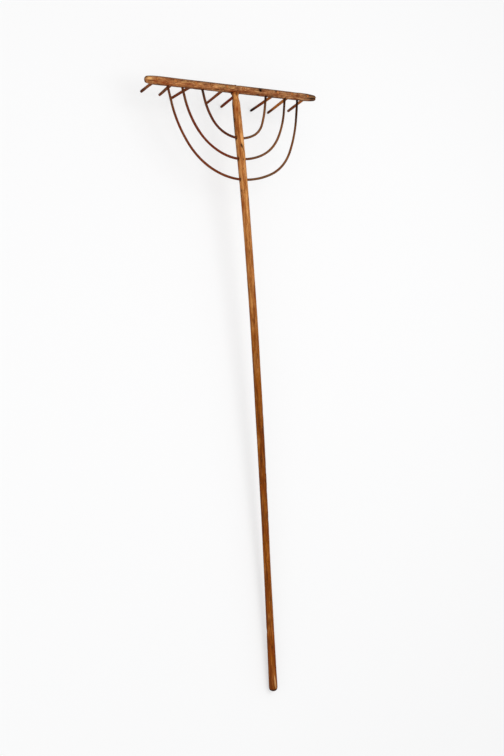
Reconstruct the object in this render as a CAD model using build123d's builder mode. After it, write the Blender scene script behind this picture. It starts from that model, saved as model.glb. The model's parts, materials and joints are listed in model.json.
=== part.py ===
from build123d import *
from math import asin, atan2, cos, hypot, pi, radians, sin, sqrt, tan
import os

os.makedirs("parts", exist_ok=True)

# Wooden hand hay rake lying as it comes to rest, on the tips of its teeth and the butt of its handle.
# X runs along the head bar, +Y along the handle towards the head, +Z up. Millimetres.

# Head bar
bar_length = 680.0
bar_radius = 13.8  # at the middle
bar_swell = 0.5  # the left end's side is this much thicker, the right end's this much thinner
bar_left_end_radius = 11.9
bar_right_end_radius = 10.6
bar_end_taper = 88.0
bar_end_round = 8.0
bar_end_slope = 0.12
head_height = 142.0  # the bar's axis above the floor

# Handle
handle_length = 1988.0  # from the bar's axis to the end of the butt
handle_lean = 2.2  # it first leans this far to the right
handle_lean_at = 200.0
handle_bend = -16.5  # then bends to the left, this far at its middle
handle_bend_at = 1053.0
handle_drift = -59.9  # and this far at its butt
shoulder_radius = 13.4
shoulder_at = 50.0
upper_radius = 14.1
upper_at = 110.0
lower_radius = 13.8
lower_at = 380.0
middle_radius = 13.05
middle_at = 860.0
waist_radius = 11.95
waist_at = 1450.0
swell_radius = 12.5
swell_at = 1780.0
butt_radius = 14.0
butt_at = 1955.0
butt_round = 8.0
neck_radius = 10.6
neck_at = 24.0
collar_radius = 15.0
collar_at = 13.0
collar_top = 8.5
shoulder_slope = 0.05  # inwards into the neck
collar_slope = 0.8  # outwards at the collar's edge
tenon_radius = 8.0
tenon_short = 0.8  # the tenon's end stays below the bar's far side

# Bows, each one bent rod from socket to socket through the handle
bow_radius = 4.2
bow_socket_depth = 15.0
bow_crown_shift = 2.8  # crowns stand this far to the right of the head's middle
bow_hole_play = 1.1  # radial, for the rod's bend inside the straight hole
outer_depth = 304.2
middle_depth = 234.9
inner_depth = 164.6

# Teeth, pegs driven through the bar
tooth_root_radius = 5.3
tooth_end_radius = 4.6
tooth_end_round = 2.4
tooth_top_round = 1.0
tooth_proud = 0.8  # a tooth's upper end stands this far out of the bar
stub_reach = 12.4  # broken tooth, from the bar's axis down
stub_break_angle = 24.0

# Fits
seat_gap = 0.15  # radial, pegs, feet and tenon in their holes
foot_gap = 0.5  # a bow's foot above the bottom of its socket
saddle_gap = 0.3  # the handle's collar against the bar

# Places along the bar are shares of half its length, from its middle
half_bar = bar_length / 2

# Each tooth's place, its splay to the right and slant to the butt in degrees, and how much shorter
# than the longest teeth it is worn
teeth = {
    "tooth_01": (-0.889, 0.5, 4.0, 41.0),
    "tooth_02": (-0.688, 3.5, 4.0, 30.0),
    "tooth_03": (-0.465, -4.0, 2.4, 0.0),
    "tooth_05": (-0.109, 4.3, 4.0, 0.0),
    "tooth_06": (0.084, 1.7, 6.9, 0.0),
    "tooth_08": (0.494, -4.7, 8.1, 0.0),
    "tooth_09": (0.676, 0.1, 8.8, 0.0),
    "tooth_10": (0.880, 4.7, 6.0, 15.6),
}
stub_place = (-0.291, 0.0, 3.0)  # broken off inside its hole
empty_place = (0.286, 0.0, 11.0)  # lost, with its hole left open

# Each bow's depth, and for its left and right half the foot's place and how full its round is,
# where 2 is an oval and more is squarer
bows = {
    "bow_outer": (outer_depth, (-0.747, 2.09), (0.741, 2.32)),
    "bow_middle": (middle_depth, (-0.592, 2.03), (0.593, 2.19)),
    "bow_inner": (inner_depth, (-0.371, 2.13), (0.358, 2.39)),
}
bow_joints = (0.28, 0.58, 0.87)  # where its arcs meet, as shares of the turn from crown to foot

# The rake's own plane holds the bar, the handle and the bows. It tilts so that the butt lies on the
# floor, and it stands so that the whole rake is centred on the origin.
butt_rest_at = handle_length - butt_round
tilt = asin(head_height / hypot(butt_rest_at, butt_radius)) - atan2(butt_radius, butt_rest_at)
handle_reach = handle_length * cos(tilt) + (butt_radius - butt_round) * sin(tilt)
bar_widest = bar_radius + bar_swell * (1 - bar_end_taper / half_bar)
head_y = (handle_reach - bar_widest) / 2
rake = Plane(origin=(0, head_y, head_height), x_dir=(1, 0, 0), z_dir=(0, -sin(tilt), cos(tilt)))

# Centre line of the handle, from the bar's axis to the butt
with BuildLine(rake) as handle_line:
    Spline(
        (0, 0),
        (handle_lean, -handle_lean_at),
        (handle_bend, -handle_bend_at),
        (handle_drift, -handle_length),
    )
handle_edge = handle_line.edge()
handle_start = handle_edge % 0


def tooth_way(splay, slant):
    """The way a tooth points, down from the bar."""
    down = cos(radians(splay))
    ahead = -down * sin(radians(slant))
    up = -down * cos(radians(slant))
    return rake.x_dir * sin(radians(splay)) + rake.y_dir * ahead + rake.z_dir * up


def tooth_reach(way, worn):
    """Length from the bar's axis to the tip, which touches the floor unless it is worn shorter."""
    upright = -way.Z
    flat = tooth_end_radius - tooth_end_round
    end_height = flat * sqrt(1 - upright**2) + tooth_end_round * (1 - upright)
    return (head_height - end_height) / upright - worn


def bar_radius_at(at):
    """The bar's radius this far along it from its middle."""
    past = max(abs(at) + bar_end_taper - half_bar, 0) / (bar_end_taper - bar_end_round)
    full = bar_radius - bar_swell * at / half_bar
    end_radius = bar_left_end_radius if at < 0 else bar_right_end_radius
    return full - (full - end_radius) * past**2


def bow_half(depth, place, fullness):
    """Start, middle and end of each arc from a bow's crown to its leg, and the leg's way."""
    reach = place * half_bar - bow_crown_shift
    start = (bow_crown_shift, -depth)
    way = 0 if place > 0 else pi
    arcs = []
    for joint in bow_joints:
        across = sin(joint * pi / 2) ** (2 / fullness)
        down = cos(joint * pi / 2) ** (2 / fullness)
        end = (bow_crown_shift + reach * across, -depth * down)
        run, climb = end[0] - start[0], end[1] - start[1]
        turn = atan2(climb, run) - way
        bulge = tan(turn / 2) / 2
        middle = ((start[0] + end[0]) / 2 + bulge * climb, (start[1] + end[1]) / 2 - bulge * run)
        arcs.append((start, middle, end))
        way += 2 * turn
        start = end
    return arcs, way


def leg_point(shoulder, way, ahead):
    """The point of a bow's straight leg that lies this far ahead of the bar's axis."""
    return shoulder[0] + (ahead - shoulder[1]) / tan(way), ahead


with BuildPart() as head_bar:
    with BuildSketch(Plane(origin=rake.origin, x_dir=(1, 0, 0), z_dir=(0, 0, 1))):
        with BuildLine():
            left_end = (bar_end_round - half_bar, bar_left_end_radius)
            right_end = (half_bar - bar_end_round, bar_right_end_radius)
            left_full = (bar_end_taper - half_bar, bar_radius_at(bar_end_taper - half_bar))
            right_full = (half_bar - bar_end_taper, bar_radius_at(half_bar - bar_end_taper))
            Spline((-half_bar, 0), left_end, tangents=((0, 1), (1, bar_end_slope)))
            Spline(left_end, left_full, tangents=((1, bar_end_slope), (1, 0)))
            Line(left_full, right_full)
            Spline(right_full, right_end, tangents=((1, 0), (1, -bar_end_slope)))
            Spline(right_end, (half_bar, 0), tangents=((1, -bar_end_slope), (0, -1)))
            Line((half_bar, 0), (-half_bar, 0))
        make_face()
    revolve(axis=Axis(rake.origin, (1, 0, 0)))
    # Holes right through for the teeth, one of them empty
    for place in [tooth[:3] for tooth in teeth.values()] + [stub_place, empty_place]:
        root = rake.from_local_coords((place[0] * half_bar, 0, 0))
        with BuildSketch(Plane(origin=root, z_dir=tooth_way(*place[1:]))):
            Circle(tooth_root_radius + seat_gap)
        extrude(amount=2 * bar_radius, both=True, mode=Mode.SUBTRACT)
    # Mortise for the handle's tenon
    with BuildSketch(Plane(origin=rake.origin, z_dir=handle_start)):
        Circle(tenon_radius + seat_gap)
    extrude(amount=2 * bar_radius, both=True, mode=Mode.SUBTRACT)
    # Blind sockets for the feet of the bows
    for depth, *halves in bows.values():
        for half in halves:
            arcs, way = bow_half(depth, *half)
            shoulder = arcs[-1][2]
            top = rake.from_local_coords((*leg_point(shoulder, way, bow_socket_depth - bar_radius), 0))
            low = rake.from_local_coords((*leg_point(shoulder, way, -2 * bar_radius), 0))
            with BuildSketch(Plane(origin=top, z_dir=low - top)):
                Circle(bow_radius + seat_gap)
            extrude(amount=2 * bar_radius, mode=Mode.SUBTRACT)
head_bar.part.label = "head_bar"
export_step(head_bar.part, "parts/head_bar.step")

with BuildPart() as handle:
    # Shaft, through round sections along the centre line
    for at, radius in (
        (shoulder_at, shoulder_radius),
        (upper_at, upper_radius),
        (lower_at, lower_radius),
        (middle_at, middle_radius),
        (waist_at, waist_radius),
        (swell_at, swell_radius),
        (butt_at, butt_radius),
    ):
        along = at / handle_length
        with BuildSketch(Plane(origin=handle_edge @ along, x_dir=rake.z_dir, z_dir=handle_edge % along)):
            Circle(radius)
    loft()
    # Rounded butt
    butt_start = handle_edge @ (butt_at / handle_length)
    butt_way = handle_edge % (butt_at / handle_length)
    butt_end = handle_length - butt_at
    with BuildSketch(Plane(origin=butt_start, x_dir=butt_way.cross(rake.z_dir), z_dir=rake.z_dir)):
        with BuildLine():
            Polyline(
                (0, butt_end),
                (0, 0),
                (butt_radius, 0),
                (butt_radius, butt_end - butt_round),
            )
            RadiusArc((butt_radius, butt_end - butt_round), (butt_radius - butt_round, butt_end), -butt_round)
            Line((butt_radius - butt_round, butt_end), (0, butt_end))
        make_face()
    revolve(axis=Axis(butt_start, butt_way))
    # Holes that the bows run through
    for depth, *halves in bows.values():
        middle = rake.from_local_coords((0, -depth, 0))
        with BuildSketch(Plane(origin=middle, x_dir=rake.y_dir, z_dir=rake.x_dir)):
            Circle(bow_radius + bow_hole_play)
        extrude(amount=3 * upper_radius, both=True, mode=Mode.SUBTRACT)
    # Shoulder, neck and collar, whittled round
    with BuildSketch(Plane(origin=rake.origin, x_dir=rake.z_dir.cross(handle_start), z_dir=rake.z_dir)):
        with BuildLine():
            Line((0, -shoulder_at), (shoulder_radius, -shoulder_at))
            Spline(
                (shoulder_radius, -shoulder_at),
                (neck_radius, -neck_at),
                (collar_radius, -collar_at),
                tangents=((-shoulder_slope, 1), (collar_slope, 1)),
            )
            Line((collar_radius, -collar_at), (collar_radius, -collar_top))
            Line((collar_radius, -collar_top), (0, -collar_top))
            Line((0, -collar_top), (0, -shoulder_at))
        make_face()
    revolve(axis=Axis(rake.origin, handle_start))
    # Collar hollowed to sit on the round bar
    with BuildSketch(Plane(origin=rake.origin, z_dir=(1, 0, 0))):
        Circle(bar_radius + saddle_gap)
    extrude(amount=2 * collar_radius, both=True, mode=Mode.SUBTRACT)
    # Tenon through the bar
    with BuildSketch(Plane(origin=rake.origin + handle_start * neck_at, z_dir=-handle_start)):
        Circle(tenon_radius)
    extrude(amount=neck_at + bar_radius - tenon_short)
handle.part.label = "handle"
export_step(handle.part, "parts/handle.step")

for name, (depth, *halves) in bows.items():
    foot_ahead = bow_socket_depth - bar_radius - foot_gap
    with BuildPart() as bow:
        with BuildLine(rake) as bow_line:
            arcs, way = bow_half(depth, *halves[0])
            shoulder = arcs[-1][2]
            Line(leg_point(shoulder, way, foot_ahead), shoulder)
            for start, middle, end in reversed(arcs):
                ThreePointArc(end, middle, start)
            arcs, way = bow_half(depth, *halves[1])
            for arc in arcs:
                ThreePointArc(*arc)
            shoulder = arcs[-1][2]
            Line(shoulder, leg_point(shoulder, way, foot_ahead))
        rod = bow_line.wire()
        with BuildSketch(Plane(origin=rod @ 0, z_dir=rod % 0)):
            Circle(bow_radius)
        sweep(path=rod)
    bow.part.label = name
    export_step(bow.part, f"parts/{name}.step")

for name, (place, splay, slant, worn) in teeth.items():
    at = place * half_bar
    way = tooth_way(splay, slant)
    side = way.cross(rake.y_dir).normalized()
    root = rake.from_local_coords((at, 0, 0))
    reach = tooth_reach(way, worn)
    top = -bar_radius_at(at) - tooth_proud
    with BuildPart() as tooth:
        with BuildSketch(Plane(origin=root, x_dir=side, z_dir=side.cross(way))):
            with BuildLine():
                Polyline(
                    (0, reach),
                    (0, top),
                    (tooth_root_radius - tooth_top_round, top),
                    (tooth_root_radius, top + tooth_top_round),
                    (tooth_root_radius, bar_radius),
                    (tooth_end_radius, reach - tooth_end_round),
                )
                RadiusArc(
                    (tooth_end_radius, reach - tooth_end_round),
                    (tooth_end_radius - tooth_end_round, reach),
                    tooth_end_round,
                )
                Line((tooth_end_radius - tooth_end_round, reach), (0, reach))
            make_face()
        revolve(axis=Axis(root, way))
    tooth.part.label = name
    export_step(tooth.part, f"parts/{name}.step")

with BuildPart() as tooth_stub:
    way = tooth_way(*stub_place[1:])
    root = rake.from_local_coords((stub_place[0] * half_bar, 0, 0))
    top = bar_radius_at(stub_place[0] * half_bar) + tooth_proud
    with BuildSketch(Plane(origin=root - way * top, z_dir=way)):
        Circle(tooth_root_radius)
    extrude(amount=top + stub_reach)
    chamfer(tooth_stub.edges().sort_by(Axis.Z)[-1], tooth_top_round)
    # Broken across the grain, aslant
    break_way = way.rotate(Axis.X, stub_break_angle)
    break_at = root + way * (stub_reach - tooth_root_radius / 2)
    split(bisect_by=Plane(origin=break_at, z_dir=break_way), keep=Keep.BOTTOM)
tooth_stub.part.label = "tooth_stub"
export_step(tooth_stub.part, "parts/tooth_stub.step")
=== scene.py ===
import json
import math

import bmesh
import bpy
import numpy as np
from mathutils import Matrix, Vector

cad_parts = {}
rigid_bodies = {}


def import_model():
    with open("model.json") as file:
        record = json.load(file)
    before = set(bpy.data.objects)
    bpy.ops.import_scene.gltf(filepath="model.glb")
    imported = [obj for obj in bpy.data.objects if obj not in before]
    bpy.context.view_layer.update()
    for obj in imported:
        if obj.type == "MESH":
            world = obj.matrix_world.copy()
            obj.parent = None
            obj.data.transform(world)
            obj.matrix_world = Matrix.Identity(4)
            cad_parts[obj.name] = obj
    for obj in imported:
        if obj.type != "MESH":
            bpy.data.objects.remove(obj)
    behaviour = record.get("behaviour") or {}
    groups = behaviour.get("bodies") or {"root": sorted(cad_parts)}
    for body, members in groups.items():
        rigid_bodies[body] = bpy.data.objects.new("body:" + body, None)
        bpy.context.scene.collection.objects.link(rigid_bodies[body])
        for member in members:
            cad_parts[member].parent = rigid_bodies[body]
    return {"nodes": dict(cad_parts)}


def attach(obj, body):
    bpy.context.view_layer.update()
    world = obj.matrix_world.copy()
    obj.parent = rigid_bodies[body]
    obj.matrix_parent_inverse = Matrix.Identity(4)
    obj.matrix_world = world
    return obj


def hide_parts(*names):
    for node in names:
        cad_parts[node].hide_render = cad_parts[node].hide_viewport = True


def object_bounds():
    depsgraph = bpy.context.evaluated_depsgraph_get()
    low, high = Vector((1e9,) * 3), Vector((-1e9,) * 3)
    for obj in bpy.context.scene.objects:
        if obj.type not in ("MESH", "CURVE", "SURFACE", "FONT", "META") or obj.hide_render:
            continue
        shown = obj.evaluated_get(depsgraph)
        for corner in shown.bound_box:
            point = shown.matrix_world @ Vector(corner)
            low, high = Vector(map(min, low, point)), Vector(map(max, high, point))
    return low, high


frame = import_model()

cadLow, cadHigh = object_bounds()
boxLow, boxHigh = np.array(cadLow), np.array(cadHigh)


def shade(red, green, blue):
    steps = [channel / 255 for channel in (red, green, blue)]
    return tuple(c / 12.92 if c <= 0.04045 else ((c + 0.055) / 1.055) ** 2.4 for c in steps) + (1.0,)


# Uneven surfaces, worked out point by point

def lumps(points, size, seed):
    table = np.random.default_rng(seed).uniform(-1, 1, (32, 32, 32))
    scaled = points / np.asarray(size)
    cell = np.floor(scaled).astype(int)
    part = scaled - cell
    part = part * part * (3 - 2 * part)
    total = np.zeros(len(points))
    for corner in range(8):
        step = np.array([corner & 1, corner >> 1 & 1, corner >> 2 & 1])
        weight = np.prod(np.where(step, part, 1 - part), axis=1)
        total += weight * table[tuple(((cell + step) % 32).T)]
    return total


def nearTo(values, middle, width):
    return np.exp(-(((values - middle) / width) ** 2))


def rise(values, start, end):
    share = np.clip((values - start) / (end - start), 0, 1)
    return share * share * (3 - 2 * share)


def turned(grain):
    return np.degrees(np.arctan2(grain[:, 2], grain[:, 1]))


def facing(grain, angle, width):  # the strip along a rod that looks this way, in degrees
    return nearTo((turned(grain) - angle + 180) % 360 - 180, 0, width)


def aside(grain, angle):  # how far round the rod a point lies from this way
    return np.radians((turned(grain) - angle + 180) % 360 - 180) * np.hypot(grain[:, 1], grain[:, 2])


def spot(grain, place, angle, length, width):
    return nearTo(grain[:, 0], place, length) * nearTo(aside(grain, angle), 0, width)


def allSpots(grain, spots):  # place, way round, length, width and strength of each
    return sum(strength * spot(grain, *where) for *where, strength in spots)


def dented(grain, seed, lowest, highest, count, stretch):  # scattered by place, way round and size
    dents = np.random.default_rng(seed).uniform(lowest, highest, (count, 3))
    return sum(spot(grain, place, angle, stretch * size, size) for place, angle, size in dents)


def streak(grain, start, end, width):  # a line along the grain from one (place, angle) to another
    share = np.clip((grain[:, 0] - start[0]) / (end[0] - start[0]), 0, 1)
    reach = width * (0.4 + 2.4 * share * (1 - share))
    before = nearTo(np.minimum(grain[:, 0] - start[0], 0), 0, 2 * width)
    after = nearTo(np.maximum(grain[:, 0] - end[0], 0), 0, 2 * width)
    return nearTo(aside(grain, start[1] + share * (end[1] - start[1])), 0, reach) * before * after


def rounding(fromEnd, reach, inset):  # share by which a worn end draws in
    return inset * (1 - np.sqrt(1 - np.clip(1 - fromEnd / reach, 0, 1) ** 2))


def shaved(grain, length, width, seed):  # long shallow flats round a rod
    turn = np.radians(turned(grain))
    rounds = np.column_stack([grain[:, 0], np.cos(turn), np.sin(turn)])
    return lumps(rounds, (length, width, width), seed)


def takeShape(node, voxel):
    piece = bpy.data.objects.new(node + "_wood", frame["nodes"][node].data.copy())
    bpy.context.scene.collection.objects.link(piece)
    mesh = bmesh.new()
    mesh.from_mesh(piece.data)
    bmesh.ops.remove_doubles(mesh, verts=mesh.verts, dist=1e-6)
    mesh.to_mesh(piece.data)
    mesh.free()
    piece.data.materials.clear()
    remesh = piece.modifiers.new("remesh", "REMESH")
    remesh.mode = "VOXEL"
    remesh.voxel_size = voxel
    remesh.use_smooth_shade = True
    solid = bpy.data.meshes.new_from_object(piece.evaluated_get(bpy.context.evaluated_depsgraph_get()))
    piece.modifiers.clear()
    piece.data = solid
    points = np.empty(len(solid.vertices) * 3)
    solid.vertices.foreach_get("co", points)
    normals = np.empty(len(solid.vertices) * 3)
    solid.vertex_normals.foreach_get("vector", normals)
    return piece, points.reshape(-1, 3), normals.reshape(-1, 3)


def middleLine(places, offsets, bins):
    edges = np.linspace(places.min(), places.max(), bins + 1)
    which = np.clip(np.digitize(places, edges) - 1, 0, bins - 1)
    count = np.maximum(np.bincount(which, minlength=bins), 1)
    middles = (edges[1:] + edges[:-1]) / 2
    sides = range(offsets.shape[1])
    line = np.stack([np.bincount(which, offsets[:, i], bins) / count for i in sides], 1)
    padded = np.pad(line, ((2, 2), (0, 0)), "edge")
    line = sum(padded[i:i + bins] for i in range(5)) / 5  # smoothed over five bins
    return np.stack([np.interp(places, middles, line[:, i]) for i in sides], 1)


def straightGrain(points, along, side, bins):  # along a rod, and across it to the side and up
    along, side = np.array(along, float), np.array(side, float)
    along /= np.linalg.norm(along)
    side -= along * (side @ along)
    side /= np.linalg.norm(side)
    places = points @ along
    offsets = np.stack([points @ side, points @ np.cross(along, side)], 1)
    offsets -= middleLine(places, offsets, bins)
    return np.column_stack([places - places.min(), offsets])


def bowGrain(points, bins):  # along a bow from its left foot, outwards, and out of its plane
    centre = (points.min(0) + points.max(0)) / 2
    flat = np.linalg.svd((points - centre)[::25], full_matrices=False)[2][2]
    flat *= np.sign(flat[2])
    hub = np.array([centre[0], points[:, 1].max() - 0.01, points[:, 2].max()])
    ahead = np.cross(flat, (1, 0, 0))
    arm = points - hub
    turn = np.arctan2(arm[:, 0], -(arm @ ahead))
    reach = np.hypot(arm[:, 0], arm @ ahead)
    middle = middleLine(turn, np.column_stack([reach, arm @ flat]), bins)
    order = np.argsort(turn)
    steps = np.hypot(np.diff(turn[order]) * middle[order, 0][1:], np.diff(middle[order, 0]))
    places = np.empty(len(points))
    places[order] = np.concatenate([[0], np.cumsum(steps)])
    return np.column_stack([places, reach - middle[:, 0], arm @ flat - middle[:, 1]])


def keepValues(piece, name, values):
    kind, key = ("FLOAT_VECTOR", "vector") if values.ndim == 2 else ("FLOAT", "value")
    layer = piece.data.attributes.new(name, kind, "POINT")
    layer.data.foreach_set(key, values.astype(np.float32).ravel())


def finishPiece(piece, points, normals, grain, depth, marks, skin, node):
    moved = np.clip(points + normals * depth[:, None], boxLow, boxHigh)
    piece.data.vertices.foreach_set("co", moved.ravel())
    piece.data.update()
    keepValues(piece, "share", grain[:, 0] / grain[:, 0].max())
    grain[:, 0] += 0.31 * len(bpy.data.objects)  # no two pieces show the same stretch of figure
    keepValues(piece, "grain", grain)
    for name in ("dirtAndShade", "wornAndHighlit", "red", "grey"):
        keepValues(piece, name, np.clip(marks.get(name, 0 * depth), 0, 1))
    piece.data.materials.append(skin)
    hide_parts(node)
    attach(piece, "root")
    print("made", piece.name, len(piece.data.polygons) * 2, "triangles")


# Wood skins

def put(tree, kind, inputs, **settings):
    node = tree.nodes.new(kind)
    for key, value in settings.items():
        setattr(node, key, value)
    for key, value in inputs.items():
        if isinstance(value, bpy.types.NodeSocket):
            tree.links.new(value, node.inputs[key])
        else:
            node.inputs[key].default_value = value
    return node


def readValue(tree, name, output="Fac"):
    return put(tree, "ShaderNodeAttribute", {}, attribute_name=name).outputs[output]


def grainNoise(tree, grain, sizes, offset, detail=4.0, roughness=0.55, twist=0.0):
    scale = tuple(1 / size for size in sizes)
    placed = put(tree, "ShaderNodeMapping", {
        "Vector": grain, "Scale": scale, "Location": (offset, offset, offset)})
    settings = {"Vector": placed.outputs[0], "Scale": 1.0, "Detail": detail, "Roughness": roughness}
    return put(tree, "ShaderNodeTexNoise", {**settings, "Distortion": twist}).outputs["Fac"]


def ramp(tree, value, stops):
    made = put(tree, "ShaderNodeValToRGB", {"Fac": value})
    stopList = made.color_ramp.elements
    while len(stopList) < len(stops):
        stopList.new(0.5)
    for element, (place, colour) in zip(stopList, stops):
        element.position = place
        element.color = colour
    return made.outputs["Color"]


def blendColours(tree, amount, first, second, way="MIX"):
    made = put(tree, "ShaderNodeMix", {0: amount, 6: first, 7: second}, data_type="RGBA", blend_type=way)
    return made.outputs[2]


def remap(tree, value, low, high, toLow=0.0, toHigh=1.0):
    made = put(tree, "ShaderNodeMapRange", {
        "Value": value, "From Min": low, "From Max": high, "To Min": toLow, "To Max": toHigh})
    return made.outputs[0]


def combine(tree, way, first, second=0.0):
    return put(tree, "ShaderNodeMath", {0: first, 1: second}, operation=way).outputs[0]


def weigh(tree, *pairs):
    total = combine(tree, "MULTIPLY", *pairs[0])
    for value, weight in pairs[1:]:
        added = put(tree, "ShaderNodeMath", {0: value, 1: weight, 2: total}, operation="MULTIPLY_ADD")
        total = added.outputs[0]
    return total


def growthRings(tree, grain, broad, look):
    width, (pithSide, pithUp) = look["ringWidth"], look["pith"]
    placed = put(tree, "ShaderNodeMapping", {
        "Vector": grain, "Scale": (0, 1 / width, 1 / width),
        "Location": (0, pithSide / width, pithUp / width)})
    away = put(tree, "ShaderNodeVectorMath", {0: placed.outputs[0]}, operation="LENGTH").outputs["Value"]
    ring = combine(tree, "FRACT", weigh(tree, (away, 1.0), (broad, look["ringWander"])))
    light, mid, dark = (0, 0, 0, 1), (0.12, 0.12, 0.12, 1), (1, 1, 1, 1)  # early wood to late wood
    return ramp(tree, ring, [(0.0, dark), (0.1, light), (0.5, mid), (0.96, dark)])


def woodSkin(name, look):  # look is the piece's own dictionary
    skin = bpy.data.materials.new(name)
    skin.use_nodes = True
    tree = skin.node_tree
    surface = tree.nodes["Principled BSDF"]
    grain = readValue(tree, "grain", "Vector")
    keys = ("share", "dirtAndShade", "wornAndHighlit", "red", "grey")
    share, dirtAndShade, wornAndHighlit, red, grey = (readValue(tree, key) for key in keys)
    length, across, offset = look["grainLength"], look["grainAcross"], look["offset"]
    broad = grainNoise(tree, grain, (length, across, across), offset, 5.0, 0.6, 0.3)
    fine = grainNoise(tree, grain, (length / 4, across / 5, across / 5), offset + 7, 6.0, 0.65, 0.1)
    patches = grainNoise(tree, grain, look["patchSize"], offset + 3, 4.0, 0.6, 0.4)
    rings = growthRings(tree, grain, broad, look)

    figure = weigh(tree, (broad, 0.55), (fine, 0.45), (rings, -look["ringDepth"]))
    near = ramp(tree, figure, look["near"])
    far = ramp(tree, figure, look["far"])
    wander = remap(tree, patches, 0.35, 0.65, -0.22, 0.22)
    passage = combine(tree, "ADD", remap(tree, share, *look["passage"]), wander)
    colour = blendColours(tree, passage, near, far)

    ruddy = weigh(tree, (remap(tree, patches, *look["stainSpread"]), look["stainDepth"]), (red, 1.0))
    colour = blendColours(tree, combine(tree, "MINIMUM", ruddy, 0.95), colour, look["stain"])

    pores = grainNoise(tree, grain, (0.006, 0.0004, 0.0004), offset + 5, 2.0, 0.5)
    earlyWood = remap(tree, rings, 0.0, 0.6, 1.0, 0.25)
    openPores = combine(tree, "MULTIPLY", remap(tree, pores, 0.56, 0.66), earlyWood)
    poreShade = combine(tree, "MULTIPLY", openPores, look["poreDepth"])
    colour = blendColours(tree, poreShade, colour, look["pore"], "MULTIPLY")

    # the grey channel paints weathering, and painted shade on the bar's far top edge
    greyingAndShade = combine(tree, "MULTIPLY", grey, remap(tree, fine, 0.32, 0.6, 0.45, 1.0))
    colour = blendColours(tree, greyingAndShade, colour, look["greyedAndShaded"])

    # the pale fleck colour paints wear, and painted highlight where the worn channel carries it
    wear = grainNoise(tree, grain, look["fleckSize"], offset + 11, 5.0, 0.7, 0.6)
    rubbedAndHighlit = remap(tree, weigh(tree, (wornAndHighlit, 1.0), (wear, 1.6), (fine, 1.2)), 1.66, 2.5)
    flecks = combine(tree, "MAXIMUM", remap(tree, wear, *look["fleckSpread"]), rubbedAndHighlit)
    pale = combine(tree, "MULTIPLY", flecks, look["fleckDepth"])
    colour = blendColours(tree, pale, colour, look["fleckAndHighlight"])

    soilAndShade = grainNoise(tree, grain, look["soilSize"], offset + 19, 6.0, 0.7, 0.8)
    spread = combine(tree, "MULTIPLY", remap(tree, soilAndShade, *look["soilSpread"]), look["soilDepth"])
    # the dark soil colour paints real dirt, and also painted shade where the dirt channel carries it
    packedDirtAndShade = combine(tree, "MULTIPLY", dirtAndShade, remap(tree, soilAndShade, 0.3, 0.5, 0.7, 1.0))
    splitSize = (length * 1.4, across * 0.7, across * 0.7)
    split = grainNoise(tree, grain, splitSize, offset + 23, 2.0, 0.5, 0.1)
    offLine = combine(tree, "ABSOLUTE", combine(tree, "SUBTRACT", split, 0.5))
    hairlines = remap(tree, offLine, 0.003, 0.011, 1.0, 0.0)
    checks = combine(tree, "MULTIPLY", hairlines, remap(tree, patches, 0.5, 0.58))
    darkChecks = combine(tree, "MULTIPLY", checks, look["checkDepth"])
    grimeAndShade = combine(tree, "MAXIMUM", combine(tree, "MAXIMUM", spread, packedDirtAndShade), darkChecks)
    colour = blendColours(tree, grimeAndShade, colour, look["soilAndShade"])
    tree.links.new(colour, surface.inputs["Base Color"])

    dryness = weigh(tree, (patches, 0.5), (grimeAndShade, 0.3), (grey, 0.3))
    roughness = remap(tree, dryness, 0.2, 0.7, *look["roughness"])
    tree.links.new(roughness, surface.inputs["Roughness"])
    surface.inputs["Specular IOR Level"].default_value = look["gloss"]
    height = weigh(tree, (fine, 0.5), (soilAndShade, 0.25), (rings, 0.12), (openPores, -0.12), (checks, -0.5))
    bump = put(tree, "ShaderNodeBump", {"Height": height, "Strength": look["bump"], "Distance": 0.0009})
    tree.links.new(bump.outputs[0], surface.inputs["Normal"])
    return skin


# Camera, at the photograph's place over the lying rake

cameraSettings = {"lens": 50.0, "place": (-1.97882, -0.25280, 2.92917), "turn": (9.360, -33.437, -8.632)}

view = bpy.data.cameras.new("view")
view.lens = cameraSettings["lens"]
view.clip_end = 60
viewObject = bpy.data.objects.new("view", view)
viewObject.location = cameraSettings["place"]
viewObject.rotation_euler = [math.radians(angle) for angle in cameraSettings["turn"]]
bpy.context.scene.collection.objects.link(viewObject)
bpy.context.scene.camera = viewObject
print("camera placed")

# Head bar, grain and marks measured from its left end, ways round it from the far side over the top

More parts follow.
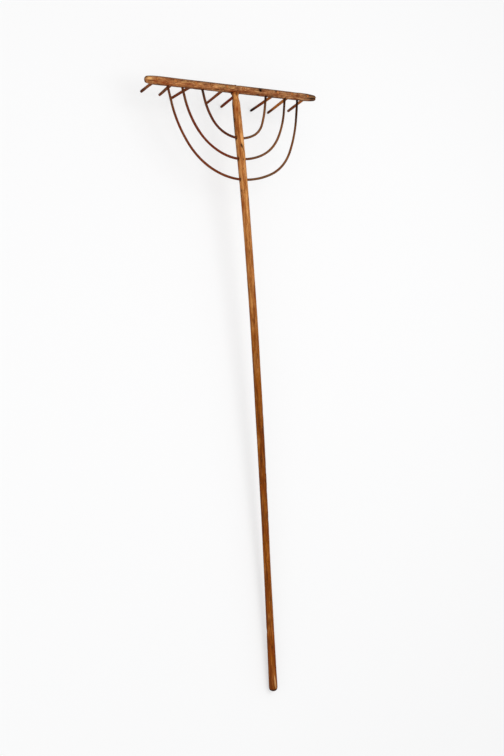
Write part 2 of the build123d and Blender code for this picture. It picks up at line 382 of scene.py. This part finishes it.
barSettings = {
    "voxel": 0.0011,
    "hewing": 0.0005,  # depth of the long flats left by the drawknife
    "roughGrain": 0.0002,
    "dents": 60,
    "dentDepth": 0.0009,
    "crackDepth": 0.0022,
    "cracks": [  # drying cracks at the right end: way round, reach, width
        (118, 0.052, 0.0013), (70, 0.06, 0.0009), (20, 0.034, 0.0008), (-80, 0.06, 0.0009),
        (172, 0.04, 0.0007)],
    "boreEdge": (0.0075, 0.0095),  # what lies nearer to the axis is inside a hole, and keeps its shape
    "endFace": 0.012,  # but so near to an end it is the end itself
    "endRound": (0.034, 0.16),  # reach of the worn ends, and how far they draw in
    "weatheredEnd": 0.075,  # how much of the right end has gone grey
    "underside": (214, 42),  # painted shade along the underside: way round, width
    # painted shade on the far top edge: way round, width
    "greySide": (36, 34),
    # paler strip along the top, wear and painted highlight: way round, width
    "wornAndHighlitSide": (92, 22),
    "pit": (0.504, 74, 0.0055, 0.0042),  # place, way round, length, width
    "pitDepth": 0.0018,
    "paintedShadeSpots": [  # painted shade at the empty hole's mouth, and round the handle's collar
        (0.437, 74, 0.009, 0.008, 0.9), (0.345, 205, 0.022, 0.006, 0.5),
        (0.345, 122, 0.005, 0.003, 0.6)],
    "ruddySpots": [(0.342, 170, 0.026, 0.012, 0.8), (0.075, 140, 0.03, 0.010, 0.5)],
    "paleEnd": (0.011, 92, 0.010, 0.0045),
    "rubbedMiddle": (0.31, 0.06),
    # skin
    "offset": 2.0,
    "grainLength": 0.07,
    "grainAcross": 0.0065,
    "pith": (0.021, -0.016),
    "ringWidth": 0.0021,
    "ringWander": 1.6,
    "ringDepth": 0.07,
    "near": [(0.37, shade(104, 54, 22)), (0.47, shade(168, 102, 54)), (0.59, shade(222, 160, 104))],
    "far": [(0.37, shade(92, 52, 26)), (0.47, shade(150, 96, 56)), (0.59, shade(204, 152, 106))],
    "passage": (0.1, 0.95),
    "patchSize": (0.03, 0.012, 0.012),
    "stain": shade(140, 62, 22),
    "stainSpread": (0.5, 0.64),
    "stainDepth": 0.6,
    "pore": shade(96, 60, 38),
    "poreDepth": 0.75,
    "greyedAndShaded": shade(100, 72, 52),
    "fleckAndHighlight": shade(232, 178, 112),
    "fleckSize": (0.010, 0.0036, 0.0036),
    "fleckSpread": (0.6, 0.68),
    "fleckDepth": 0.85,
    "soilAndShade": shade(44, 20, 6),
    "soilSize": (0.010, 0.005, 0.005),
    "soilSpread": (0.54, 0.66),
    "soilDepth": 0.75,
    "checkDepth": 0.8,
    "roughness": (0.5, 0.85),
    "gloss": 0.08,
    "bump": 0.7,
}

barSkin = woodSkin("barSkin", barSettings)
piece, points, normals = takeShape("head_bar", barSettings["voxel"])
grain = straightGrain(points, (1, 0, 0), (0, 1, 0), 160)
across = np.hypot(grain[:, 1], grain[:, 2])
fromLeft, fromRight = grain[:, 0], grain[:, 0].max() - grain[:, 0]
outside = rise(across, *barSettings["boreEdge"])
outside[np.minimum(fromLeft, fromRight) < barSettings["endFace"]] = 1
shrink = rounding(np.minimum(fromLeft, fromRight), *barSettings["endRound"]) * outside
points[:, 1] -= shrink * grain[:, 1]
points[:, 2] -= shrink * grain[:, 2]
depth = barSettings["hewing"] * shaved(grain, 0.09, 0.6, 3)
depth += barSettings["roughGrain"] * lumps(grain, (0.03, 0.0022, 0.0022), 4)
spread = lumps(grain, (0.02, 0.006, 0.006), 6)
# painted shade along the underside, with some dirt spread all round
dirtAndShade = 1.05 * facing(grain, *barSettings["underside"]) * (1 + 0.3 * spread) + 0.14 * spread
dents = dented(grain, 8, (0.01, -180, 0.0016), (0.67, 180, 0.005), barSettings["dents"], 1.8)
depth -= barSettings["dentDepth"] * dents
dirtAndShade += 0.5 * dents
for angle, reach, width in barSettings["cracks"]:
    along = np.column_stack([fromLeft, 0 * fromLeft, 0 * fromLeft])
    wander = 5 * lumps(along, (0.02, 1, 1), round(angle) + 90)  # degrees to either side
    crack = nearTo(aside(grain, angle + wander), 0, width) * rise(reach - fromRight, 0, 0.4 * reach)
    depth -= barSettings["crackDepth"] * crack
    dirtAndShade += 0.95 * crack
pit = spot(grain, *barSettings["pit"])
depth -= barSettings["pitDepth"] * pit
# the pit is darkened, and painted shade goes at the empty hole and round the handle's collar
dirtAndShade += 1.3 * pit + allSpots(grain, barSettings["paintedShadeSpots"])
endReach = barSettings["weatheredEnd"] - fromRight
dirtAndShade += 0.35 * rise(endReach, 0, 0.04) * (1 + spread)
dirtAndShade += 1.5 * (1 - outside)  # painted shade inside the holes
wornAndHighlit = spot(grain, *barSettings["paleEnd"])
# paler along the top: wear and painted highlight
wornAndHighlit += 0.55 * facing(grain, *barSettings["wornAndHighlitSide"]) * (0.6 + spread)
wornAndHighlit += 0.45 * nearTo(fromLeft, *barSettings["rubbedMiddle"]) * facing(grain, 84, 26)
# greyer on the far top edge, which is painted shade, and at the weathered right end
grey = 1.2 * facing(grain, *barSettings["greySide"]) + 0.75 * rise(endReach, 0, 0.03)
grey += 0.7 * rise(0.006 - fromLeft, 0, 0.006)
red = allSpots(grain, barSettings["ruddySpots"])
marks = {"dirtAndShade": dirtAndShade, "wornAndHighlit": wornAndHighlit, "red": red, "grey": grey * (0.9 + 0.4 * spread)}
finishPiece(piece, points, normals, grain, depth * outside, marks, barSkin, "head_bar")

# Handle, marks measured from its upper end, ways round it from the right side over the top

handleSettings = {
    "voxel": 0.0015,
    "shaving": 0.0005,
    "roughGrain": 0.00012,
    "dents": 34,
    "dentDepth": 0.0008,
    "tenon": 0.0135,  # how much of its upper end is inside the bar
    "neck": 0.034,  # its neck ends this far from its upper end
    "boreEdge": (0.0085, 0.0105),
    "bowHoles": (0.177, 0.248, 0.317),  # places of the painted shadow beside the bows' holes
    "buttFace": 0.04,
    "buttRound": (0.015, 0.5),  # reach of the worn lower end, and how far it draws in
    "spotDepth": 0.0007,
    "spots": [  # small dark knots and bruises
        (0.034, 98, 0.006, 0.004, 0.9), (0.206, 104, 0.006, 0.0034, 1.1),
        (0.253, 96, 0.004, 0.0024, 0.9), (0.284, 112, 0.003, 0.0020, 0.8),
        (0.075, 186, 0.007, 0.004, 0.9), (0.118, 178, 0.006, 0.003, 0.9),
        (0.355, 168, 0.006, 0.003, 0.8), (0.372, 182, 0.008, 0.003, 0.8),
        (0.385, 56, 0.006, 0.0026, 0.9), (0.560, 120, 0.008, 0.003, 0.5),
        (0.905, 100, 0.007, 0.003, 0.5), (1.240, 140, 0.010, 0.003, 0.5),
        (1.700, 95, 0.008, 0.004, 0.5), (1.855, 110, 0.006, 0.003, 0.6)],
    "knotTail": ((0.204, 104), (0.224, 77), 0.0026),  # dark line off a knot: from, to, width
    "paleChip": ((1.952, 98), (1.989, 84), 0.0034),
    "ruddySpot": (0.085, 114, 0.012, 0.006),
    "shadedSide": (232, 46),  # painted shade on the side towards the floor: way round, width
    # painted shade along the darker edge of the upper handle: way round, width
    "upperEdge": (208, 34),
    # paler strip along the top, wear and painted highlight: way round, width
    "wornAndHighlitSide": (84, 20),
    "ruddySide": (160, 34),
    "greySide": (22, 26),
    # skin
    "offset": 5.0,
    "grainLength": 0.13,
    "grainAcross": 0.0075,
    "pith": (0.017, -0.024),
    "ringWidth": 0.0024,
    "ringWander": 1.2,
    "ringDepth": 0.05,
    "near": [(0.37, shade(142, 78, 32)), (0.48, shade(202, 134, 70)), (0.6, shade(238, 180, 112))],
    "far": [(0.37, shade(80, 30, 0)), (0.48, shade(126, 64, 2)), (0.6, shade(166, 98, 24))],
    "passage": (0.1, 0.5),
    "patchSize": (0.07, 0.014, 0.014),
    "stain": shade(140, 62, 12),
    "stainSpread": (0.52, 0.68),
    "stainDepth": 0.5,
    "pore": shade(120, 70, 38),
    "poreDepth": 0.6,
    "greyedAndShaded": shade(128, 98, 66),
    "fleckAndHighlight": shade(226, 172, 112),
    "fleckSize": (0.016, 0.0036, 0.0036),
    "fleckSpread": (0.66, 0.76),
    "fleckDepth": 0.8,
    "soilAndShade": shade(44, 18, 4),
    "soilSize": (0.018, 0.005, 0.005),
    "soilSpread": (0.57, 0.7),
    "soilDepth": 0.7,
    "checkDepth": 0.6,
    "roughness": (0.36, 0.62),
    "gloss": 0.06,
    "bump": 0.35,
}

handleSkin = woodSkin("handleSkin", handleSettings)
piece, points, normals = takeShape("handle", handleSettings["voxel"])
grain = straightGrain(points, (0, -1, 0), (1, 0, 0), 300)
across = np.hypot(grain[:, 1], grain[:, 2])
fromTop, fromButt = grain[:, 0], grain[:, 0].max() - grain[:, 0]
outside = rise(across, *handleSettings["boreEdge"])
outside[fromButt < handleSettings["buttFace"]] = 1
outside[fromTop < handleSettings["tenon"]] = 0
shrink = rounding(fromButt, *handleSettings["buttRound"])
points[:, 0] -= shrink * grain[:, 1]
points[:, 2] -= shrink * grain[:, 2]
depth = handleSettings["shaving"] * shaved(grain, 0.16, 0.55, 13)
depth += handleSettings["roughGrain"] * lumps(grain, (0.06, 0.0026, 0.0026), 14)
spread = lumps(grain, (0.05, 0.007, 0.007), 16)
honey = rise(0.9 - fromTop, 0, 0.7)  # the upper part is paler and yellower
neck = handleSettings["neck"] - fromTop
# painted shade inside the bow holes and on the tenon in the bar, and on the side towards the floor
dirtAndShade = 1.2 * (1 - outside) + (0.65 + 0.3 * spread) * facing(grain, *handleSettings["shadedSide"])
# painted shade on the neck just below the bar
dirtAndShade += 0.55 * rise(neck, 0, 0.012)
# painted shade along the darker edge of the upper handle
dirtAndShade += rise(0.2 - fromTop, 0, 0.1) * facing(grain, *handleSettings["upperEdge"]) * (1 + 0.5 * spread)
dents = dented(grain, 18, (0.05, -180, 0.002), (1.95, 180, 0.006), handleSettings["dents"], 2)
depth -= handleSettings["dentDepth"] * dents
dirtAndShade += 0.4 * dents
for *where, strength in handleSettings["spots"]:
    mark = spot(grain, *where)
    depth -= handleSettings["spotDepth"] * mark
    dirtAndShade += strength * mark
dirtAndShade += 0.8 * streak(grain, *handleSettings["knotTail"])
# painted shadow beside each bow hole
for place in handleSettings["bowHoles"]:
    dirtAndShade += 0.75 * (spot(grain, place, 0, 0.008, 0.006) + spot(grain, place, 180, 0.008, 0.006))
# darker at the butt end: dirt, and painted shade on its end
dirtAndShade += 0.95 * rise(0.010 - fromButt, 0, 0.006) + 0.3 * rise(0.06 - fromButt, 0, 0.06)
# paler top strip of the upper handle: wear and painted highlight
wornAndHighlit = 0.45 * honey * facing(grain, *handleSettings["wornAndHighlitSide"]) * (0.7 + spread)
wornAndHighlit += 1.4 * streak(grain, *handleSettings["paleChip"])
red = honey * (0.3 + 0.4 * spread) * facing(grain, *handleSettings["ruddySide"])
red += 0.9 * spot(grain, *handleSettings["ruddySpot"]) + 0.15 * rise(0.5 - fromButt, 0, 0.4)
red += 0.8 * rise(neck + 0.002, 0, 0.010)
grey = 0.6 * facing(grain, *handleSettings["greySide"]) * (0.7 + spread)
marks = {"dirtAndShade": dirtAndShade, "wornAndHighlit": wornAndHighlit, "red": red, "grey": grey}
finishPiece(piece, points, normals, grain, depth * outside, marks, handleSkin, "handle")

# Bows, marks as shares of each bow from its left foot

bowSettings = {
    "voxel": 0.0009,
    "shaving": 0.00035,
    "roughGrain": 0.00012,
    "foot": (0.012, 0.02),  # the foot in its socket keeps its shape
    "darkLeg": (0.82, 0.928),  # where the right leg turns dark
    "ruddyArm": (0.3, 0.18),  # middle and reach, as of the grey places
    "greyCrown": (0.6, 0.08),
    "greyLeg": (0.07, 0.04),
    "looks": {  # how red and how dark the left half, how dark the right leg
        "bow_outer": (0.25, 0.0, 0.85),
        "bow_middle": (0.8, 0.1, 0.75),
        "bow_inner": (0.3, 0.4, 0.7)},
    # skin
    "offset": 9.0,
    "grainLength": 0.06,
    "grainAcross": 0.004,
    "pith": (0.012, -0.01),
    "ringWidth": 0.0016,
    "ringWander": 1.2,
    "ringDepth": 0.06,
    "near": [(0.36, shade(72, 26, 6)), (0.48, shade(106, 50, 20)), (0.62, shade(138, 78, 38))],
    "far": [(0.36, shade(74, 40, 16)), (0.48, shade(120, 74, 38)), (0.62, shade(160, 110, 64))],
    "passage": (0.45, 0.66),
    "patchSize": (0.04, 0.010, 0.010),
    "stain": shade(116, 44, 16),
    "stainSpread": (0.5, 0.64),
    "stainDepth": 0.6,
    "pore": shade(90, 56, 38),
    "poreDepth": 0.6,
    "greyedAndShaded": shade(96, 76, 52),
    "fleckAndHighlight": shade(184, 126, 76),
    "fleckSize": (0.010, 0.0028, 0.0028),
    "fleckSpread": (0.64, 0.76),
    "fleckDepth": 0.6,
    "soilAndShade": shade(34, 14, 8),
    "soilSize": (0.012, 0.004, 0.004),
    "soilSpread": (0.56, 0.74),
    "soilDepth": 0.6,
    "checkDepth": 0.6,
    "roughness": (0.5, 0.8),
    "gloss": 0.06,
    "bump": 0.5,
}

bowSkin = woodSkin("bowSkin", bowSettings)
for seed, (node, (ruddy, dull, dark)) in enumerate(bowSettings["looks"].items()):
    piece, points, normals = takeShape(node, bowSettings["voxel"])
    grain = bowGrain(points, 400)
    depth = bowSettings["shaving"] * (shaved(grain, 0.05, 0.7, 23 + seed) - 0.3)
    depth += bowSettings["roughGrain"] * lumps(grain, (0.03, 0.0016, 0.0016), 33 + seed)
    fromEnd = np.minimum(grain[:, 0], grain[:, 0].max() - grain[:, 0])
    depth *= rise(fromEnd, *bowSettings["foot"])
    share = grain[:, 0] / grain[:, 0].max()
    spread = lumps(grain, (0.04, 0.004, 0.004), 26 + seed)
    dirtAndShade = 0.5 * rise(0.05 - fromEnd, 0, 0.04)
    dirtAndShade += (dark + 0.3 * spread) * rise(share, *bowSettings["darkLeg"])
    dirtAndShade += dull * (1 + 0.6 * spread) * rise(0.52 - share, 0, 0.1)
    grey = (0.55 + 0.6 * spread) * nearTo(share, *bowSettings["greyCrown"])
    grey += 0.5 * nearTo(share, *bowSettings["greyLeg"])
    red = ruddy * nearTo(share, *bowSettings["ruddyArm"]) * (1 + 0.6 * spread)
    marks = {"dirtAndShade": dirtAndShade, "red": red, "grey": grey}
    finishPiece(piece, points, normals, grain, depth, marks, bowSkin, node)

# Teeth, marks as shares of each tooth from its top

toothSettings = {
    "voxel": 0.0007,
    "whittling": 0.00045,
    "roughGrain": 0.00014,
    "tipWear": 0.0005,
    "leavesBar": (0.029, 0.036),  # how far from its top a tooth comes out of the bar
    "middle": (0.62, 0.25),  # where it is reddest or greyest, and how far that reaches
    "looks": {  # how pale at the bar, red in the middle, grey in the middle, dark at the tip
        "tooth_01": (0.5, 0.1, 0.2, 0.6),
        "tooth_02": (0.2, 0.1, 0.7, 0.2),
        "tooth_03": (0.5, 0.3, 0.0, 0.1),
        "tooth_05": (0.2, 0.3, 0.1, 0.4),
        "tooth_06": (0.1, 0.9, 0.0, 0.35),
        "tooth_08": (0.8, 0.4, 0.0, 1.0),
        "tooth_09": (1.0, 0.6, 0.0, 0.6),
        "tooth_10": (0.8, 0.1, 0.2, 0.4),
        "tooth_stub": (0.2, 0.2, 0.3, 0.4)},
    # skin
    "offset": 14.0,
    "grainLength": 0.05,
    "grainAcross": 0.004,
    "pith": (0.02, -0.01),
    "ringWidth": 0.0018,
    "ringWander": 1.0,
    "ringDepth": 0.06,
    "near": [(0.36, shade(124, 66, 28)), (0.48, shade(176, 108, 54)), (0.62, shade(210, 148, 90))],
    "far": [(0.36, shade(74, 24, 2)), (0.48, shade(114, 52, 16)), (0.62, shade(154, 86, 38))],
    "passage": (0.16, 0.2),
    "patchSize": (0.025, 0.008, 0.008),
    "stain": shade(112, 28, 4),
    "stainSpread": (0.5, 0.66),
    "stainDepth": 0.4,
    "pore": shade(90, 56, 40),
    "poreDepth": 0.6,
    "greyedAndShaded": shade(92, 70, 52),
    "fleckAndHighlight": shade(184, 112, 44),
    "fleckSize": (0.012, 0.004, 0.004),
    "fleckSpread": (0.66, 0.78),
    "fleckDepth": 0.85,
    "soilAndShade": shade(30, 12, 8),
    "soilSize": (0.010, 0.004, 0.004),
    "soilSpread": (0.58, 0.74),
    "soilDepth": 0.6,
    "checkDepth": 0.6,
    "roughness": (0.5, 0.78),
    "gloss": 0.05,
    "bump": 0.5,
}

toothSkin = woodSkin("toothSkin", toothSettings)
for seed, (node, (pale, ruddy, dull, dark)) in enumerate(toothSettings["looks"].items()):
    piece, points, normals = takeShape(node, toothSettings["voxel"])
    way = np.linalg.svd((points - points.mean(0))[::9], full_matrices=False)[2][0]
    grain = straightGrain(points, -way * np.sign(way[2]), (1, 0, 0), 60)
    below = rise(grain[:, 0], *toothSettings["leavesBar"])
    depth = below * toothSettings["whittling"] * (shaved(grain, 0.035, 0.7, 43 + seed) - 0.25)
    depth += below * toothSettings["roughGrain"] * lumps(grain, (0.02, 0.0015, 0.0015), 53 + seed)
    fromTip = grain[:, 0].max() - grain[:, 0]
    chips = 1 + lumps(points, (0.003, 0.003, 0.003), 63 + seed)
    depth -= toothSettings["tipWear"] * rise(0.01 - fromTip, 0, 0.01) * chips
    share = grain[:, 0] / grain[:, 0].max()
    spread = lumps(grain, (0.03, 0.004, 0.004), 73 + seed)
    dirtAndShade = dark * rise(0.06 - fromTip, 0, 0.05) + 0.5 * nearTo(grain[:, 0], 0.03, 0.003)
    paleRoot = rise(0.35 + 0.6 * pale ** 3 - share, 0, 0.3) + 0.3 * spread
    wornAndHighlit = pale * paleRoot * rise(grain[:, 0], 0.029, 0.034)
    middle = nearTo(share, *toothSettings["middle"]) * (1 + spread)
    marks = {"dirtAndShade": dirtAndShade, "wornAndHighlit": wornAndHighlit, "red": ruddy * middle, "grey": dull * middle}
    finishPiece(piece, points, normals, grain, depth, marks, toothSkin, node)

# Floor and light

floorSettings = {
    "half": 14.0,
    "colour": (0.9, 0.9, 0.905, 1),
    "white": 0.96,  # of the plain paper and of what lies behind it
    "paper": 0.55,  # how much of white paper it has where the rake lies
    "fade": (1.5, 4.5),  # from here to here it turns to plain paper
}

floorMesh = bpy.data.meshes.new("floor")
half = floorSettings["half"]
corners = [(-half, -half, 0), (half, -half, 0), (half, half, 0), (-half, half, 0)]
floorMesh.from_pydata(corners, [], [(0, 1, 2, 3)])
floor = bpy.data.objects.new("floor", floorMesh)
floor.location = (0, 0, cadLow.z)
bpy.context.scene.collection.objects.link(floor)
floorSkin = bpy.data.materials.new("floorSkin")
floorSkin.use_nodes = True
floorTree = floorSkin.node_tree
floorSurface = floorTree.nodes["Principled BSDF"]
floorSurface.inputs["Base Color"].default_value = floorSettings["colour"]
floorSurface.inputs["Roughness"].default_value = 0.9
floorSurface.inputs["Specular IOR Level"].default_value = 0.1
paper = put(floorTree, "ShaderNodeEmission", {"Color": (1, 1, 1, 1), "Strength": floorSettings["white"]})
rays = put(floorTree, "ShaderNodeLightPath", {})
seen = combine(floorTree, "MAXIMUM", rays.outputs["Is Glossy Ray"], rays.outputs["Is Transmission Ray"])
seen = combine(floorTree, "MAXIMUM", rays.outputs["Is Camera Ray"], seen)
place = put(floorTree, "ShaderNodeNewGeometry", {}).outputs["Position"]
away = put(floorTree, "ShaderNodeVectorMath", {0: place}, operation="LENGTH").outputs["Value"]
share = remap(floorTree, away, *floorSettings["fade"], floorSettings["paper"], 1.0)
lifted = put(floorTree, "ShaderNodeMixShader", {
    0: combine(floorTree, "MULTIPLY", seen, share), 1: floorSurface.outputs[0], 2: paper.outputs[0]})
floorTree.links.new(lifted.outputs[0], floorTree.nodes["Material Output"].inputs["Surface"])
floorMesh.materials.append(floorSkin)

lightSettings = {
    "sky": 0.72,
    "lamps": {  # energy, size, place
        "overhead": (48.0, 2.6, (0.7, 0.6, 3.4)),
        "side": (22.0, 2.6, (-3.0, -0.6, 2.4))},
    "aim": (0.0, 0.2, 0.0),
}

world = bpy.data.worlds.new("room")
world.use_nodes = True
bpy.context.scene.world = world
backdrop = world.node_tree.nodes["Background"]
backdrop.inputs["Color"].default_value = (1, 1, 1, 1)
rays = put(world.node_tree, "ShaderNodeLightPath", {})
seen = put(world.node_tree, "ShaderNodeMapRange", {
    "Value": rays.outputs["Is Camera Ray"],
    "To Min": lightSettings["sky"], "To Max": floorSettings["white"]})
world.node_tree.links.new(seen.outputs[0], backdrop.inputs["Strength"])

for name, (energy, size, place) in lightSettings["lamps"].items():
    lamp = bpy.data.lights.new(name, "AREA")
    lamp.energy = energy
    lamp.size = size
    lampObject = bpy.data.objects.new(name, lamp)
    lampObject.location = place
    aim = Vector(lightSettings["aim"]) - Vector(place)
    lampObject.rotation_euler = aim.to_track_quat("-Z", "Y").to_euler()
    lampObject.visible_camera = False
    bpy.context.scene.collection.objects.link(lampObject)
print("floor and light placed")

bpy.context.scene.view_settings.view_transform = "Standard"
